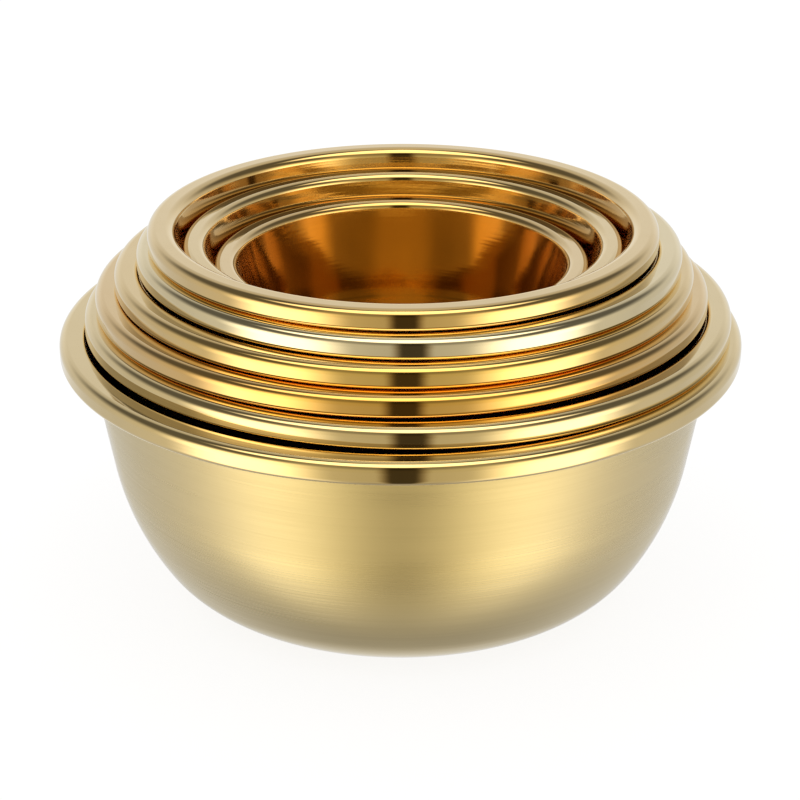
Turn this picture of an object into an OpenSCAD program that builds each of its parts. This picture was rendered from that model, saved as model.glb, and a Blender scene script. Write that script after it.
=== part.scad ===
// Nest of eight round mixing bowls pressed from gold-tinted stainless sheet.
// The six larger bowls sit one on the other with each rolled rim resting on
// the rim of the next larger bowl, so the rims climb like steps. The two
// smallest bowls drop through the opening and stand on the floor of the bowl
// that holds them. Every bowl is one piece: floor, round heel, flared wall
// and a hollow rolled rim with a flat top, rounded corners and an upright outer face.
// Millimetres, +X right, +Y back, +Z up, origin under the centre of the largest bowl's floor.

/* [Rims] */
// Rim diameter of the largest bowl
rim_dia = 388; // [380:1:396]
// Drop in rim diameter between the stepped bowls
rim_dia_step = 20; // [19.6:0.1:20]
// Rim diameter of the second smallest bowl
rim_dia_7 = 248; // [244:0.5:249]
// Rim diameter of the smallest bowl
rim_dia_8 = 212; // [206:0.5:213]

/* [Heights] */
// Height of the largest bowl
height = 156.4; // [150:0.2:164]
// Drop in height between the stepped bowls
height_step = 6.2; // [5.6:0.1:6.8]
// Height of the second smallest bowl
height_7 = 114; // [108:0.5:116]
// Height of the smallest bowl
height_8 = 101.4; // [94:0.2:103]

/* [Rolled rim] */
// Height of the outer face of the largest rim
bead_height = 12.4; // [11.8:0.1:13.4]
// Drop in rim height between the stepped bowls
bead_step = 0.1; // [0:0.05:0.3]
// From the outer face in to the line of the inner wall
bead_reach = 15; // [14.6:0.1:15.4]
// Radius where the inner wall turns out into the rim's flat top
lip_radius = 5.8; // [5.4:0.1:6]
// Radius between the flat top and the outer face
top_radius = 3; // [2.4:0.1:3.4]
// Radius under the outer face
under_radius = 3.2; // [2.4:0.1:3.6]
// Size of the two smallest rims against the larger ones
small_bead = 0.81; // [0.78:0.01:0.84]
// Opening left between the tucked-in edge and the wall
tuck_gap = 0.3; // [0.2:0.1:0.6]

/* [Body] */
// Sheet thickness
sheet = 0.8; // [0.6:0.1:1]
// Flare of the upper wall from upright, in degrees
flare = 9.9; // [9:0.1:10.8]
// Angle from upright where the belly turns into the heel, in degrees
heel_from = 33.6; // [31:0.2:36]
// Belly radius as a share of the rim diameter
belly_share = 0.39; // [0.36:0.01:0.42]
// Heel radius as a share of the rim diameter
heel_share = 0.14; // [0.12:0.01:0.16]

/* [Placing] */
// Clearance between surfaces that rest on each other
rest_gap = 0.1; // [0.05:0.05:0.2]
// Second bowl: right and back of the largest bowl's centre
offset_2 = [4.2, 4.4]; // [-6:0.1:6]
// Third bowl, from the largest bowl's centre
offset_3 = [0.6, 5.9]; // [-6:0.1:6]
// Fourth bowl, from the largest bowl's centre
offset_4 = [1.9, 5]; // [-6:0.1:6]
// Fifth bowl, from the largest bowl's centre
offset_5 = [4.9, 4]; // [-6:0.1:6]
// Sixth bowl, from the largest bowl's centre
offset_6 = [1.5, 3]; // [-6:0.1:6]
// Seventh bowl, from the sixth bowl's centre
offset_7 = [-0.2, 0]; // [-0.5:0.1:0.5]
// Eighth bowl, from the seventh bowl's centre
offset_8 = [-0.7, -0.2]; // [-0.7:0.1:0.7]

/* [Hidden] */
$fn = 240;
// Steps along each curve of the section
heel_steps = 14;
belly_steps = 8;
lip_steps = 8;
corner_steps = 7;

// Bowls are numbered from 1, the largest; those after the last stepped one stand inside it
last_stepped = 6;
offsets = [[0, 0], offset_2, offset_3, offset_4, offset_5, offset_6, offset_7, offset_8];

// Sizes of bowl k
function stepped(k) = k <= last_stepped;
function rim_radius(k) =
    (stepped(k) ? rim_dia - (k - 1) * rim_dia_step : k == 7 ? rim_dia_7 : rim_dia_8) / 2;
function height_of(k) =
    stepped(k) ? height - (k - 1) * height_step : k == 7 ? height_7 : height_8;
function rim_scale(k) = stepped(k) ? 1 : small_bead;
function bead_of(k) = (bead_height - (min(k, last_stepped) - 1) * bead_step) * rim_scale(k);

// Radius of the inner wall line at the level of the rim's top
function wall_radius(k) = rim_radius(k) - bead_reach * rim_scale(k);

// Radius where the lip's curve meets the flat top, which is also its centre's radius
function flat_radius(k) =
    wall_radius(k) + lip_radius * rim_scale(k) * (1 / cos(flare) - tan(flare));

// Centre of bowl k, right and back of the largest bowl's centre
function place(k) = stepped(k) ? offsets[k - 1] : place(k - 1) + offsets[k - 1];

// How far the under-corner of stepped rim k falls short of the flat top that holds
// it, on the side it is shifted to; 0 where it reaches the flat
function shortfall(k) =
    max(0, flat_radius(k - 1) - rim_radius(k) + under_radius - norm(place(k) - place(k - 1)));

// How far rim k then sinks below the flat, its corner resting on the lip's curve
function sink(k) =
    let (reach = lip_radius + under_radius)
    reach - sqrt(pow(reach, 2) - pow(shortfall(k), 2));

// Height of stepped rim k's top, and of any bowl's floor underside
function rim_z(k) = k == 1 ? height : rim_z(k - 1) + rest_gap + bead_of(k) - sink(k);
function floor_z(k) =
    stepped(k) ? rim_z(k) - height_of(k) : floor_z(k - 1) + sheet + rest_gap;

function direction(angle) = [cos(angle), sin(angle)];

// Points along an arc; first = 1 leaves out the point that ends the arc before it
function arc(centre, radius, start, end, steps, first = 0) =
    [for (i = [first:steps]) centre + radius * direction(start + (end - start) * i / steps)];

// Half section of bowl k, with its floor on z = 0. The sheet is followed along its
// outer side from the floor's centre to the tucked-in edge, and back along its inner side.
module section(k) {
    rim = rim_radius(k);
    top = height_of(k);
    bead_bottom = top - bead_of(k);
    outer_wall = wall_radius(k) + sheet / cos(flare);

    // Belly and heel, tangent to the wall, to each other and to the floor
    belly = belly_share * 2 * rim;
    heel = heel_share * 2 * rim;
    // Drop from the rim's top to where the straight wall meets the belly
    straight = top - belly * (sin(heel_from) - sin(flare)) - heel * (1 - sin(heel_from));
    belly_centre = [outer_wall - tan(flare) * straight, top - straight]
        - belly * direction(-flare);
    heel_centre = belly_centre + (belly - heel) * direction(-heel_from);

    // Lip, and the corners over and under the upright outer face
    lip = lip_radius * rim_scale(k);
    over = top_radius * rim_scale(k);
    under = under_radius * rim_scale(k);
    lip_centre = [flat_radius(k), top - lip];
    over_centre = [rim - over, top - over];
    under_centre = [rim - under, bead_bottom + under];

    // The sheet's edge, tucked in against the wall under the rim
    edge = outer_wall - tan(flare) * (bead_of(k) - sheet) + tuck_gap;

    polygon(concat(
        [[0, 0]],
        arc(heel_centre, heel, -90, -heel_from, heel_steps),
        arc(belly_centre, belly, -heel_from, -flare, belly_steps, first = 1),
        arc(lip_centre, lip - sheet, 180 - flare, 90, lip_steps),
        arc(over_centre, over - sheet, 90, 0, corner_steps),
        arc(under_centre, under - sheet, 0, -90, corner_steps),
        [[edge, bead_bottom + sheet], [edge, bead_bottom]],
        arc(under_centre, under, -90, 0, corner_steps),
        arc(over_centre, over, 0, 90, corner_steps),
        arc(lip_centre, lip, 90, 180 - flare, lip_steps),
        arc(belly_centre, belly - sheet, -flare, -heel_from, belly_steps),
        arc(heel_centre, heel - sheet, -heel_from, -90, heel_steps, first = 1),
        [[0, sheet]]
    ));
}

module bowl(k) {
    translate([place(k)[0], place(k)[1], floor_z(k)])
        rotate_extrude() section(k);
}

module bowl_1_outermost() { color([0.80, 0.68, 0.40]) bowl(1); }
module bowl_2() { color([0.82, 0.70, 0.42]) bowl(2); }
module bowl_3() { color([0.78, 0.58, 0.30]) bowl(3); }
module bowl_4() { color([0.82, 0.68, 0.36]) bowl(4); }
module bowl_5() { color([0.83, 0.74, 0.50]) bowl(5); }
module bowl_6() { color([0.80, 0.66, 0.36]) bowl(6); }
module bowl_7() { color([0.80, 0.66, 0.38]) bowl(7); }
module bowl_8_innermost() { color([0.80, 0.63, 0.32]) bowl(8); }

bowl_1_outermost();
bowl_2();
bowl_3();
bowl_4();
bowl_5();
bowl_6();
bowl_7();
bowl_8_innermost();
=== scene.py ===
# A nest of eight spun gold bowls with rolled rims, standing one inside another on a pale floor at
# z = 0. They open towards +Z and the camera looks at them from the -Y side, from above the rims.
import bpy, math
import numpy as np
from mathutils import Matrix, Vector


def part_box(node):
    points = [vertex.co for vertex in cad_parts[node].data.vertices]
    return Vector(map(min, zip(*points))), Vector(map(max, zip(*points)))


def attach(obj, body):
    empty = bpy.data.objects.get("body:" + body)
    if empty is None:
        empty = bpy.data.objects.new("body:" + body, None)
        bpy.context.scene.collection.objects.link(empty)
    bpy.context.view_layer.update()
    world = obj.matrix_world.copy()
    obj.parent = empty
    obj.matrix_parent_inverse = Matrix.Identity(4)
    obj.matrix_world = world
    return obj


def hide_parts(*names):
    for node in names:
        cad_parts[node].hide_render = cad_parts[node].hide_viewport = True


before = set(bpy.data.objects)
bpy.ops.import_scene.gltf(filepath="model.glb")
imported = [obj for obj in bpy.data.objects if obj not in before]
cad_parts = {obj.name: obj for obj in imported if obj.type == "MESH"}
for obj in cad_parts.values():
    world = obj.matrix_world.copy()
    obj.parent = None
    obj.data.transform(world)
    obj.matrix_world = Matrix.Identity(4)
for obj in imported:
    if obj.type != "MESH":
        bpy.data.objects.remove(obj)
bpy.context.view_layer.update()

MM = 0.001
scene = bpy.context.scene

# ---------------------------------------------------------------- bowl sizes
# Millimetres and degrees. Diameters and heights are read from the CAD nodes' boxes.
SHEET = 0.8              # sheet thickness
FLARE = 9.9              # lean of the straight wall from the vertical
HEEL_FROM = 33.6         # slope below the horizontal where the belly arc meets the heel arc
BELLY, HEEL = 0.39, 0.14             # outer radii of those arcs, as shares of the diameter
BEAD_REACH = 15.0        # from the bowl's mouth out to the bead's outer side
LIP_R, OUTERMOST_LIP_R = 5.8, 3.0    # outer radius of the turn from the wall into the bead
TOP_R, UNDER_R = 5.0, 3.2            # outer radii of the bead's upper and lower corners
BEAD_HEIGHT, BEAD_STEP = 12.4, 0.1   # bead of bowl 1, and how much lower each next one is
FULL_BEADS = 6           # bowls with full-size beads
SMALL_BEAD = 0.81        # scale of the beads on the bowls after those
TUCK_GAP = 0.3           # how far the tucked-in edge stops outside the wall's outer line
SEGMENTS = 360           # round each bowl

# node and colour of the gold, from the largest bowl to the smallest
BOWLS = [
    ("bowl_1_outermost", (0.84, 0.59, 0.20)),
    ("bowl_2", (0.84, 0.61, 0.24)),
    ("bowl_3", (0.81, 0.44, 0.07)),
    ("bowl_4", (0.84, 0.52, 0.11)),
    ("bowl_5", (0.86, 0.70, 0.38)),
    ("bowl_6", (0.84, 0.53, 0.14)),
    ("bowl_7", (0.84, 0.55, 0.16)),
    ("bowl_8_innermost", (0.83, 0.50, 0.12)),
]

RIM, INSIDE, OUTSIDE = 0, 1, 2      # material slots of every bowl


# ---------------------------------------------------------------- bowl shape
def point(r, z):
    return np.array([r, z], float)


def unit(degrees):
    angle = math.radians(degrees)
    return point(math.cos(angle), math.sin(angle))


class Outline:
    """Points (r, z, normal r, normal z) and the finish of each stretch between two of them."""

    def __init__(self):
        self.points = []
        self.finishes = []

    def push(self, place, normal, finish):
        """Add a point. One that repeats the last point only averages the normals."""
        if self.points:
            last = self.points[-1]
            if abs(last[0] - place[0]) + abs(last[1] - place[1]) < 1e-6:
                mean = np.array(last[2:]) + normal
                last[2:] = list(mean / np.linalg.norm(mean))
                return
            self.finishes.append(finish)
        self.points.append([*place, *normal])

    def arc(self, centre, radius, start, end, steps, side, finish):
        """Side is 1 where the normal points away from the centre, -1 where it points to it."""
        for i in range(steps + 1):
            ray = unit(start + (end - start) * i / steps)
            self.push(centre + radius * ray, side * ray, finish)

    def line(self, start, end, steps, normal, finish):
        for i in range(steps + 1):
            self.push(start + (end - start) * i / steps, normal, finish)


def bowl_section(diameter, height, bead_height, bead_scale, lip_radius):
    """Section of a bowl in mm. It follows the sheet's outer side from the floor's centre to the
    tucked-in edge, and comes back along the inner side."""
    radius = diameter / 2
    slope, cos_flare = math.tan(math.radians(FLARE)), math.cos(math.radians(FLARE))
    sin_heel, sin_flare = math.sin(math.radians(HEEL_FROM)), math.sin(math.radians(FLARE))
    mouth_r = radius - BEAD_REACH * bead_scale
    wall_r = mouth_r + SHEET / cos_flare        # wall's outer line at the height of the rim
    belly_r, heel_r = BELLY * diameter, HEEL * diameter
    wall_height = height - belly_r * (sin_heel - sin_flare) - heel_r * (1 - sin_heel)
    wall_foot = point(wall_r - slope * wall_height, height - wall_height)
    belly = wall_foot - belly_r * unit(-FLARE)
    heel = belly + (belly_r - heel_r) * unit(-HEEL_FROM)

    lip_r, top_r, under_r = (r * bead_scale for r in (lip_radius, TOP_R, UNDER_R))
    bead_z = height - bead_height
    lip = point(mouth_r + lip_r * (1 / cos_flare - slope), height - lip_r)
    top = point(radius - top_r, height - top_r)
    under = point(radius - under_r, bead_z + under_r)
    edge_r = wall_r - slope * (bead_height - SHEET) + TUCK_GAP

    down, up, out = point(0, -1), point(0, 1), point(1, 0)
    wall_out = unit(-FLARE)
    lip_end = 180 - FLARE
    outline = Outline()
    arc, line = outline.arc, outline.line
    # outer side
    line(point(0, 0), point(heel[0], 0), 10, down, OUTSIDE)
    arc(heel, heel_r, -90, -HEEL_FROM, 30, 1, OUTSIDE)
    arc(belly, belly_r, -HEEL_FROM, -FLARE, 22, 1, OUTSIDE)
    line(wall_foot, lip + (lip_r - SHEET) * unit(lip_end), 10, wall_out, OUTSIDE)
    # inside of the roll
    arc(lip, lip_r - SHEET, lip_end, 90, 8, -1, RIM)
    line(point(lip[0], height - SHEET), point(top[0], height - SHEET), 2, down, RIM)
    arc(top, top_r - SHEET, 90, 0, 6, -1, RIM)
    line(point(radius - SHEET, top[1]), point(radius - SHEET, under[1]), 2, -out, RIM)
    arc(under, under_r - SHEET, 0, -90, 6, -1, RIM)
    line(point(under[0], bead_z + SHEET), point(edge_r, bead_z + SHEET), 2, up, RIM)
    line(point(edge_r, bead_z + SHEET), point(edge_r, bead_z), 2, -out, RIM)
    # outside of the roll
    line(point(edge_r, bead_z), point(under[0], bead_z), 3, down, RIM)
    arc(under, under_r, -90, 0, 14, 1, RIM)
    line(point(radius, under[1]), point(radius, top[1]), 6, out, RIM)
    arc(top, top_r, 0, 90, 14, 1, RIM)
    line(point(top[0], height), point(lip[0], height), 6, up, RIM)
    arc(lip, lip_r, 90, lip_end, 16, 1, RIM)
    # inner side
    line(lip + lip_r * unit(lip_end), wall_foot - SHEET * wall_out, 12, -wall_out, INSIDE)
    arc(belly, belly_r - SHEET, -FLARE, -HEEL_FROM, 20, -1, INSIDE)
    arc(heel, heel_r - SHEET, -HEEL_FROM, -90, 26, -1, INSIDE)
    line(point(heel[0], SHEET), point(0, SHEET), 10, up, INSIDE)
    return outline


def lathe(name, outline):
    """A closed body turned about Z with exact normals. Its end points lie on the axis."""
    points = outline.points
    angles = np.arange(SEGMENTS) * 2 * math.pi / SEGMENTS
    cos, sin = np.cos(angles), np.sin(angles)
    last = len(points) - 1
    verts, normals = [(0, 0, points[0][1] * MM)], [(0, 0, points[0][3])]
    ring_start = {}
    for k in range(1, last):
        r, z, normal_r, normal_z = points[k]
        ring_start[k] = len(verts)
        verts += np.stack([r * MM * cos, r * MM * sin, np.full(SEGMENTS, z * MM)], 1).tolist()
        ring_normals = [normal_r * cos, normal_r * sin, np.full(SEGMENTS, normal_z)]
        normals += np.stack(ring_normals, 1).tolist()
    end = len(verts)
    verts.append((0, 0, points[last][1] * MM))
    normals.append((0, 0, points[last][3]))

    faces, slots = [], []
    i = np.arange(SEGMENTS)
    j = (i + 1) % SEGMENTS
    for k, finish in enumerate(outline.finishes):
        if k == 0:
            corners = [0 * i, ring_start[1] + j, ring_start[1] + i]
        elif k == last - 1:
            corners = [ring_start[k] + i, ring_start[k] + j, 0 * i + end]
        else:
            here, ahead = ring_start[k], ring_start[k + 1]
            corners = [here + i, here + j, ahead + j, ahead + i]
        faces += np.stack(corners, 1).tolist()
        slots += [finish] * SEGMENTS
    mesh = bpy.data.meshes.new(name)
    mesh.from_pydata(verts, [], faces)
    mesh.polygons.foreach_set("material_index", slots)
    mesh.polygons.foreach_set("use_smooth", [True] * len(faces))
    mesh.update()
    mesh.normals_split_custom_set_from_vertices(normals)
    mesh.update()
    return mesh


# ---------------------------------------------------------------- node helpers
class Tree:
    def __init__(self, node_tree):
        self.nodes, self.links = node_tree.nodes, node_tree.links

    def add(self, kind, **props):
        node = self.nodes.new(kind)
        for key, value in props.items():
            setattr(node, key, value)
        return node

    def feed(self, socket, value):
        """Set a socket to a number or an RGB tuple, or link an output to it."""
        if isinstance(value, (int, float)):
            socket.default_value = value
        elif isinstance(value, tuple):
            socket.default_value = (*value, 1)
        else:
            self.links.new(value, socket)

    def calc(self, operation, *values):
        node = self.add("ShaderNodeMath", operation=operation)
        for socket, value in zip(node.inputs, values):
            self.feed(socket, value)
        return node.outputs[0]

    def chain(self, operation, first, *others):
        for value in others:
            first = self.calc(operation, first, value)
        return first

    def product(self, *values):
        return self.chain("MULTIPLY", *values)

    def total(self, *values):
        return self.chain("ADD", *values)

    def ramp(self, value, stops):
        node = self.add("ShaderNodeValToRGB")
        elements = node.color_ramp.elements
        while len(elements) > 1:
            elements.remove(elements[-1])
        elements[0].position = stops[0][0]
        elements[0].color = (*stops[0][1], 1)
        for position, colour in stops[1:]:
            elements.new(position).color = (*colour, 1)
        self.feed(node.inputs[0], value)
        return node.outputs[0]

    def smooth(self, value, span, to=(0.0, 1.0)):
        """Smoothstep from to[0] to to[1] while the value crosses the span."""
        node = self.add("ShaderNodeMapRange", interpolation_type="SMOOTHSTEP")
        node.inputs["From Min"].default_value, node.inputs["From Max"].default_value = span
        node.inputs["To Min"].default_value, node.inputs["To Max"].default_value = to
        self.feed(node.inputs["Value"], value)
        return node.outputs[0]

    def window(self, value, low, high, soft):
        """1 between low and high, falling to 0 over soft on each side."""
        rise = self.smooth(value, span=(low - soft, low))
        return self.product(rise, self.smooth(value, span=(high, high + soft), to=(1.0, 0.0)))

    def mix(self, factor, first, second):
        node = self.add("ShaderNodeMix", data_type="RGBA", blend_type="MIX")
        for index, value in ((0, factor), (6, first), (7, second)):
            self.feed(node.inputs[index], value)
        return node.outputs[2]

    def noise(self, vector, scale, detail):
        node = self.add("ShaderNodeTexNoise", noise_dimensions="3D")
        node.inputs["Scale"].default_value = scale
        node.inputs["Detail"].default_value = detail
        self.feed(node.inputs["Vector"], vector)
        return node.outputs["Fac"]

    def bump(self, height, distance, normal=None):
        node = self.add("ShaderNodeBump")
        node.inputs["Strength"].default_value = 1.0
        node.inputs["Distance"].default_value = distance
        self.feed(node.inputs["Height"], height)
        if normal is not None:
            self.feed(node.inputs["Normal"], normal)
        return node.outputs[0]

    def separate(self, vector):
        node = self.add("ShaderNodeSeparateXYZ")
        self.feed(node.inputs[0], vector)
        return node.outputs


# ---------------------------------------------------------------- gold materials
# share of the pale colour by viewing angle, from straight on (0) towards the surface (1)
PALE_SHARES = ((0.0, 0.0), (0.10, 0.06), (0.30, 0.24), (0.53, 0.50), (0.66, 0.62), (0.83, 0.84))
RIM_PALE = (0.93, 0.83, 0.59)
# the inside's pale colour is darker than the rim's: painted shade of the bowl's hollow
INSIDE_SHADED_PALE = (0.72, 0.58, 0.38)
OUTSIDE_PALE = (0.87, 0.81, 0.64)
# factors on a bowl's colour: darker and deeper inside, as painted shade of the bowl's hollow and
# of the light bounced between its walls; slightly redder outside
INSIDE_SHADE_FACTORS = (0.76, 0.68, 0.55)
OUTSIDE_FACTORS = (0.97, 1.0, 0.88)


def scaled(colour, factors):
    return tuple(c * f for c, f in zip(colour, factors))


def angle_gold(tree, face, pale):
    """Deep gold seen straight on, paler and then white seen along the surface."""
    node = tree.add("ShaderNodeLayerWeight")
    node.inputs["Blend"].default_value = 0.5
    stops = [(position, tuple(f * (1 - share) + p * share for f, p in zip(face, pale)))
             for position, share in PALE_SHARES]
    return tree.ramp(node.outputs["Facing"], stops + [(1.0, (1.0, 1.0, 1.0))])


def new_material(name):
    material = bpy.data.materials.new(name)
    material.use_nodes = True
    nodes = material.node_tree.nodes
    return material, next(n for n in nodes if n.type == "BSDF_PRINCIPLED")


def new_metal(name):
    material, shader = new_material(name)
    shader.inputs["Metallic"].default_value = 1.0
    return material, Tree(material.node_tree), shader.inputs


def section_coord(tree):
    """Object coordinates of a bowl, with its radius and height in metres."""
    coord = tree.add("ShaderNodeTexCoord").outputs["Object"]
    x, y, z = tree.separate(coord)
    squares = tree.total(tree.product(x, x), tree.product(y, y))
    return coord, tree.calc("SQRT", squares), z


def turned_noise(tree, coord, along, seed, across, around, detail):
    """Noise drawn out round the bowl: across and around are scales per metre, along the section
    and round the bowl."""
    x, y, _ = tree.separate(coord)
    node = tree.add("ShaderNodeCombineXYZ")
    tree.feed(node.inputs[0], tree.product(x, around))
    tree.feed(node.inputs[1], tree.product(y, around))
    tree.feed(node.inputs[2], tree.calc("MULTIPLY_ADD", along, across, seed * 7.31))
    return tree.noise(node.outputs[0], scale=1.0, detail=detail)


def polished(name, face, pale, seed, rough, wave_depth, line_depth):
    """Mirror-polished sheet: a slow waviness, faint turning lines and a little smearing.
    Depths are in metres."""
    material, tree, inputs = new_metal(name)
    coord, radius, z = section_coord(tree)
    gold = angle_gold(tree, face, pale)
    shift = tree.add("ShaderNodeVectorMath", operation="ADD")
    shift.inputs[1].default_value = (seed * 1.7, seed * 0.9, seed * 2.3)
    tree.feed(shift.inputs[0], coord)
    wave = tree.noise(shift.outputs[0], scale=14.0, detail=1.0)
    lines = turned_noise(tree, coord, tree.calc("SUBTRACT", z, radius), seed,
                         across=520.0, around=2.0, detail=2.0)
    smear = tree.noise(shift.outputs[0], scale=60.0, detail=4.0)
    tree.feed(inputs["Roughness"], tree.smooth(smear, span=(0.35, 0.75), to=(rough, rough * 1.8)))
    tint = tree.smooth(smear, span=(0.35, 0.8), to=(0.0, 0.07))
    tree.feed(inputs["Base Color"], tree.mix(tint, gold, scaled(face, (0.78,) * 3)))
    waves = tree.bump(wave, wave_depth)
    tree.feed(inputs["Normal"], tree.bump(lines, line_depth, normal=waves))
    return material


def brushed(name, face, seed):
    """Satin sheet: fine lines run round the bowl, so highlights spread up and down the wall."""
    material, tree, inputs = new_metal(name)
    coord, radius, z = section_coord(tree)
    # grows along the section both up the wall and in across the floor
    along = tree.calc("MULTIPLY_ADD", radius, -0.6, z)
    fine = turned_noise(tree, coord, along, seed, across=3200.0, around=6.0, detail=3.0)
    bands = turned_noise(tree, coord, along, seed + 0.5, across=700.0, around=3.0, detail=4.0)
    broad = turned_noise(tree, coord, along, seed + 0.9, across=30.0, around=4.0, detail=2.0)
    gold = angle_gold(tree, face, OUTSIDE_PALE)
    shade = tree.total(tree.smooth(bands, span=(0.3, 0.7), to=(0.0, 0.06)),
                       tree.smooth(fine, span=(0.3, 0.7), to=(0.0, 0.06)))
    tree.feed(inputs["Base Color"], tree.mix(shade, gold, scaled(face, (0.62,) * 3)))
    rough = tree.total(tree.smooth(fine, span=(0.3, 0.7), to=(0.27, 0.33)),
                       tree.smooth(broad, span=(0.3, 0.7), to=(-0.02, 0.03)))
    tree.feed(inputs["Roughness"], rough)
    inputs["Anisotropic"].default_value = 0.8
    tangent = tree.add("ShaderNodeTangent", direction_type="RADIAL", axis="Z")
    tree.feed(inputs["Tangent"], tangent.outputs[0])
    tree.feed(inputs["Normal"], tree.bump(fine, distance=0.000003))
    return material


# ---------------------------------------------------------------- bowls
def build_bowl(number, node, face):
    lo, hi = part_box(node)
    bead_scale = 1.0 if number <= FULL_BEADS else SMALL_BEAD
    bead_height = (BEAD_HEIGHT - (min(number, FULL_BEADS) - 1) * BEAD_STEP) * bead_scale
    # the largest bowl's lip turns tighter, so that less of the gap behind it shows
    lip_radius = OUTERMOST_LIP_R if number == 1 else LIP_R
    outline = bowl_section((hi.x - lo.x) / MM, (hi.z - lo.z) / MM,
                           bead_height, bead_scale, lip_radius)
    # the mesh is made round its own origin, so that turning lines follow each bowl's own axis
    mesh = lathe(node + "_shell", outline)
    bowl = bpy.data.objects.new(node + "_shell", mesh)
    scene.collection.objects.link(bowl)
    bowl.location = ((lo.x + hi.x) / 2, (lo.y + hi.y) / 2, lo.z)
    # in the order of the slots RIM, INSIDE, OUTSIDE
    mesh.materials.append(polished(
        f"rim_{number}", face, RIM_PALE, seed=number,
        rough=0.035, wave_depth=0.00025, line_depth=0.000018))
    # the inside gets darker, deeper copies of the rim gold: painted shade of the bowl's hollow
    mesh.materials.append(polished(
        f"inside_{number}", scaled(face, INSIDE_SHADE_FACTORS), INSIDE_SHADED_PALE, seed=number + 20,
        rough=0.06, wave_depth=0.0012, line_depth=0.00002))
    mesh.materials.append(brushed(
        f"outside_{number}", scaled(face, OUTSIDE_FACTORS), seed=number))
    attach(bowl, node)
    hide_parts(node)


for number, (node, face) in enumerate(BOWLS, 1):
    build_bowl(number, node, face)


# ---------------------------------------------------------------- floor
FLOOR_HALF = 6.0
FLOOR_DROP = 0.0004      # below the bowls' undersides


def build_floor():
    """A glowing pale floor, left out of the reflections, where the studio stands in for it."""
    half = FLOOR_HALF
    mesh = bpy.data.meshes.new("floor")
    corners = [(-half, -half, 0), (half, -half, 0), (half, half, 0), (-half, half, 0)]
    mesh.from_pydata(corners, [], [(0, 1, 2, 3)])
    floor = bpy.data.objects.new("floor", mesh)
    scene.collection.objects.link(floor)
    floor.location.z = -FLOOR_DROP
    material, shader = new_material("floor_pale")
    for key, value in {
        "Base Color": (0.16, 0.16, 0.16, 1),
        "Emission Color": (1, 1, 1, 1),
        "Emission Strength": 0.86,
        "Roughness": 0.9,
        "Specular IOR Level": 0.1,
    }.items():
        shader.inputs[key].default_value = value
    mesh.materials.append(material)
    floor.visible_glossy = False


build_floor()

# ---------------------------------------------------------------- studio
# grey of the room by azimuth from the camera's side, as a share of 180 degrees
ROOM_GREYS = [
    (0.0, 0.50), (0.08, 0.58), (0.16, 0.70), (0.36, 0.70), (0.47, 0.68),
    (0.60, 0.60), (0.72, 0.64), (0.85, 0.82), (1.0, 0.90),
]
BOX_LIGHT, OVERHEAD_LIGHT = 1.6, 2.0
# what stays of the upper room's light: extra behind the bowls, extra over the camera, all round
KEEP_BEHIND, KEEP_FRONT, KEEP_ALL = 0.5, 0.32, 0.20
STAND_AZIMUTH = 1.0
STAND_DARKNESS = 0.88
ROOM_COLOUR, STAND_COLOUR = (1.0, 0.985, 0.96), (1.0, 0.80, 0.55)


def studio_light(tree):
    """Strength of the light the metal mirrors, by direction, and the mask of the camera stand.
    Azimuth (from the camera's side) and elevation are in degrees."""
    smooth, window, product, total = tree.smooth, tree.window, tree.product, tree.total
    direction = tree.add("ShaderNodeTexCoord").outputs["Generated"]
    x, y, z = tree.separate(direction)
    azimuth = product(tree.calc("ARCTAN2", x, product(y, -1.0)), 180 / math.pi)
    aside = tree.calc("ABSOLUTE", azimuth)
    elevation = product(tree.calc("ARCSINE", z), 180 / math.pi)

    room = tree.ramp(tree.calc("DIVIDE", aside, 180.0),
                     [(share, (grey,) * 3) for share, grey in ROOM_GREYS])
    # two tall soft boxes, left and right of the camera, carried on below as table reflections
    tall = product(smooth(elevation, span=(-92.0, -14.0)),
                   smooth(elevation, span=(6.0, 34.0), to=(1.0, 0.0)))
    boxes = product(window(aside, low=46.0, high=60.0, soft=25.0), tall)
    # overhead soft box, from over the camera to straight over the bowls
    overhead = product(smooth(elevation, span=(48.0, 58.0)),
                       window(aside, low=0.0, high=75.0, soft=25.0))
    # the rest of the upper room is dim
    keep = total(product(smooth(aside, span=(128.0, 155.0)), KEEP_BEHIND),
                 product(smooth(aside, span=(30.0, 60.0), to=(1.0, 0.0)), KEEP_FRONT),
                 KEEP_ALL)
    dim = smooth(elevation, span=(8.0, 36.0))
    upper = total(tree.calc("SUBTRACT", 1.0, dim), product(dim, keep))
    # camera and its stand, in front
    off_stand = tree.calc("ABSOLUTE", tree.calc("SUBTRACT", azimuth, STAND_AZIMUTH))
    stand = product(smooth(off_stand, span=(3.5, 9.5), to=(1.0, 0.0)),
                    window(elevation, low=-62.0, high=42.0, soft=8.0))
    # the table darkens towards straight down
    table = smooth(elevation, span=(-92.0, -36.0), to=(0.46, 0.95))
    light = total(product(room, table, upper),
                  product(boxes, BOX_LIGHT), product(overhead, OVERHEAD_LIGHT))
    unshaded = tree.calc("SUBTRACT", 1.0, product(stand, STAND_DARKNESS))
    return product(light, unshaded), stand


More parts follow.
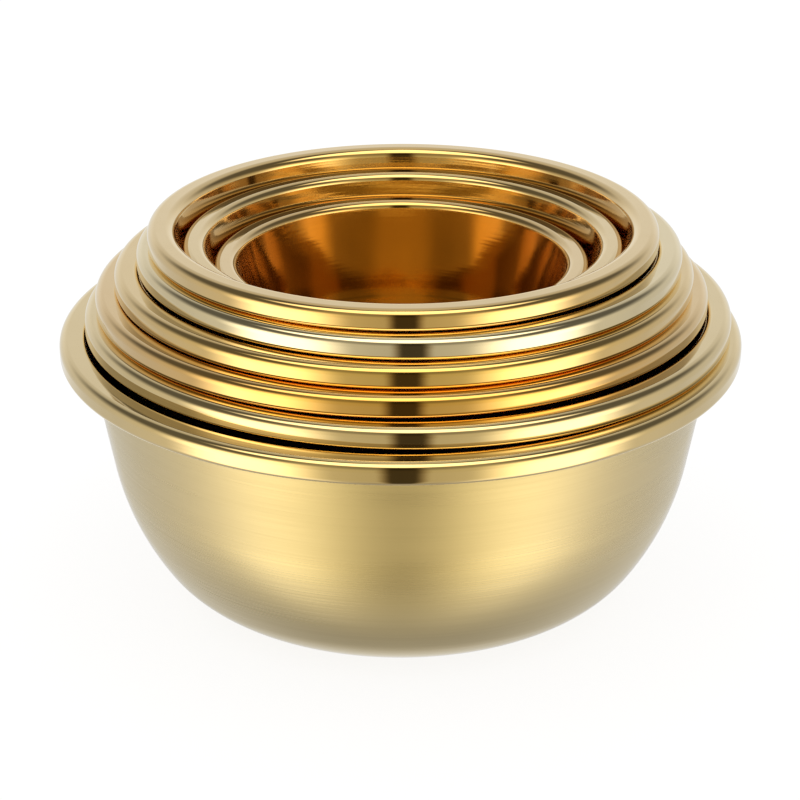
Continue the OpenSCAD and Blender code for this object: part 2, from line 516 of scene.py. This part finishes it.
def build_studio():
    world = bpy.data.worlds.new("studio")
    scene.world = world
    world.use_nodes = True
    world.node_tree.nodes.clear()
    tree = Tree(world.node_tree)
    output = tree.add("ShaderNodeOutputWorld")
    light, stand = studio_light(tree)
    mirrored = tree.add("ShaderNodeBackground")
    tree.feed(mirrored.inputs["Strength"], light)
    tree.feed(mirrored.inputs["Color"], tree.mix(stand, ROOM_COLOUR, STAND_COLOUR))
    # the camera and diffuse surfaces see plain white instead
    plain = tree.add("ShaderNodeBackground")
    plain.inputs["Color"].default_value = (1, 1, 1, 1)
    plain.inputs["Strength"].default_value = 1.0
    rays = tree.add("ShaderNodeLightPath").outputs
    choice = tree.add("ShaderNodeMixShader")
    sees_plain = tree.calc("MAXIMUM", rays["Is Camera Ray"], rays["Is Diffuse Ray"])
    for socket, value in zip(choice.inputs, (sees_plain, mirrored.outputs[0], plain.outputs[0])):
        tree.feed(socket, value)
    tree.feed(output.inputs["Surface"], choice.outputs[0])
    world.cycles.sampling_method = "MANUAL"
    world.cycles.sample_map_resolution = 1024


build_studio()

# ---------------------------------------------------------------- camera
CAMERA_ELEVATION = math.radians(23.70)
CAMERA_DISTANCE = 1.3366
AIM_X = -0.0003
AIM_BELOW_RIM = 0.04979  # under the largest bowl's top


def build_camera():
    lens = bpy.data.cameras.new("camera")
    camera = bpy.data.objects.new("camera", lens)
    scene.collection.objects.link(camera)
    scene.camera = camera
    aim = Vector((AIM_X, 0.0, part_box("bowl_1_outermost")[1].z - AIM_BELOW_RIM))
    back = Vector((0, -math.cos(CAMERA_ELEVATION), math.sin(CAMERA_ELEVATION)))
    camera.location = aim + back * CAMERA_DISTANCE
    camera.rotation_mode = "QUATERNION"
    camera.rotation_quaternion = (-back).to_track_quat("-Z", "Y")
    lens.sensor_width = 36.0
    lens.lens = 103.3695
    lens.clip_start, lens.clip_end = 0.01, 50


build_camera()

# ---------------------------------------------------------------- render settings
scene.view_settings.view_transform = "Standard"
scene.view_settings.look = "None"
scene.cycles.max_bounces = 24
scene.cycles.glossy_bounces = 20
scene.cycles.diffuse_bounces = 3
scene.cycles.sample_clamp_indirect = 6.0
scene.cycles.use_denoising = True
